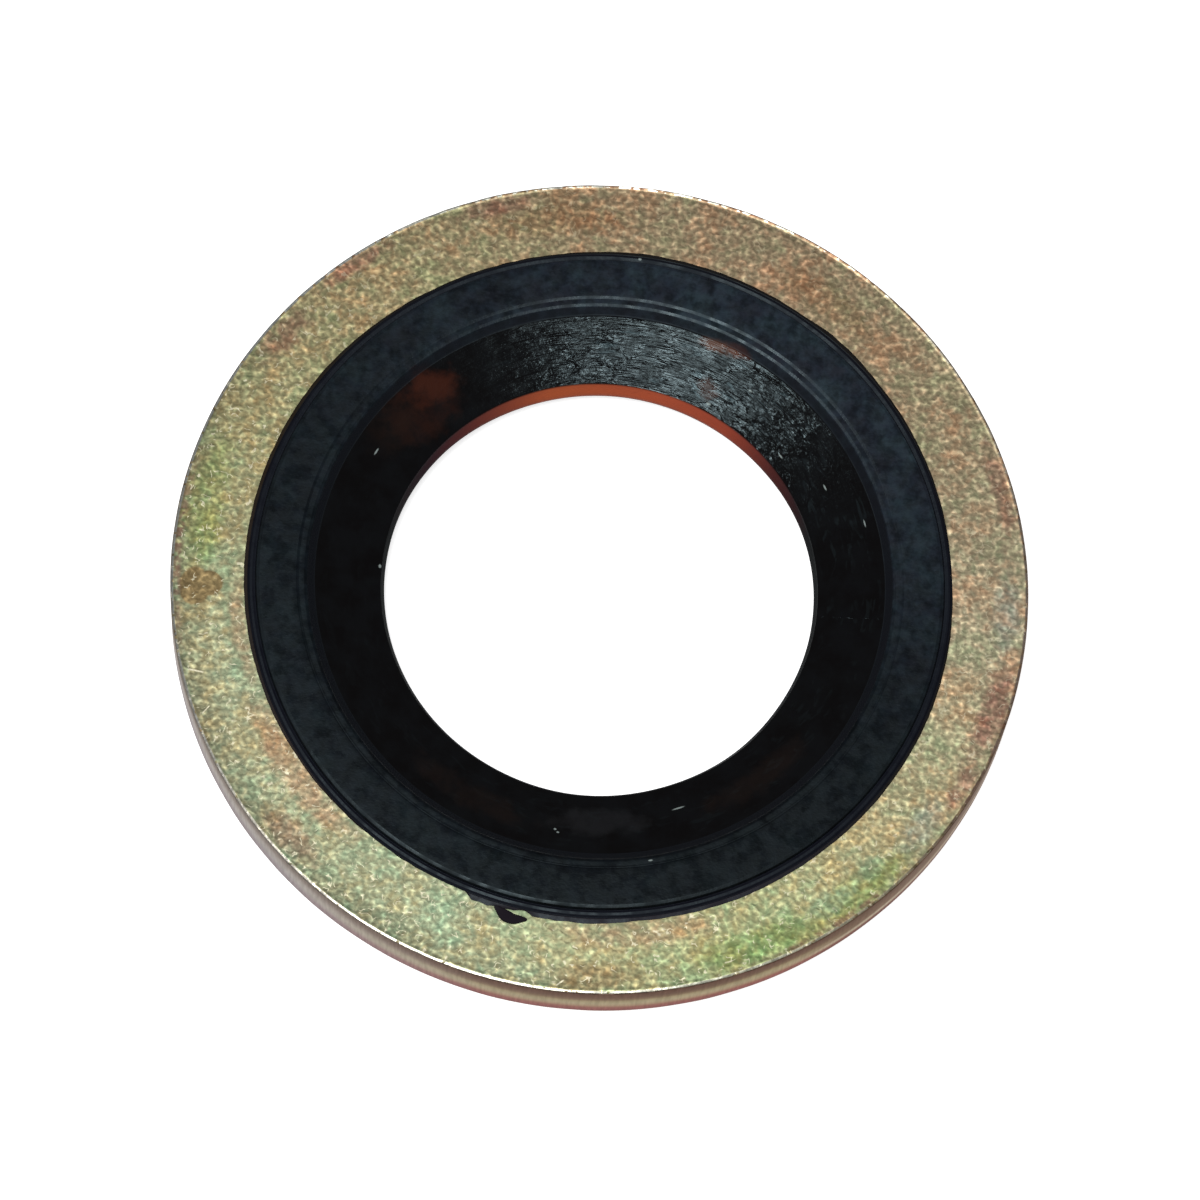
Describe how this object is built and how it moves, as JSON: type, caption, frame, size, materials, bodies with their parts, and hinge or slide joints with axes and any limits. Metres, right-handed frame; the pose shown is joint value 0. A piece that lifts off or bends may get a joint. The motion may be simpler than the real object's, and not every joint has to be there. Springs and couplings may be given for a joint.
{
  "type": "drain plug gasket",
  "caption": "Bonded drain plug gasket: a flat plated steel ring with a black rubber seal moulded into its bore, which grips the plug's thread.",
  "frame": {"origin": "on the bore's axis, level with the lower sealing flat, which is the lowest face", "axes": "+Z along the bore's axis, towards the face that the picture shows; +X to the picture's right and +Y to its top"},
  "size_m": [0.026, 0.026, 0.0025],
  "materials": {
    "plated_steel": "zinc plate with yellow passivation, tan with green and pink patches, fine crinkled grain",
    "seal_rubber": "moulded nitrile rubber, satin on the flats and glossier on the cones"
  },
  "bodies": {
    "root": {"steel_ring": "plated_steel", "rubber_seal": "seal_rubber"}
  },
  "joints": []
}
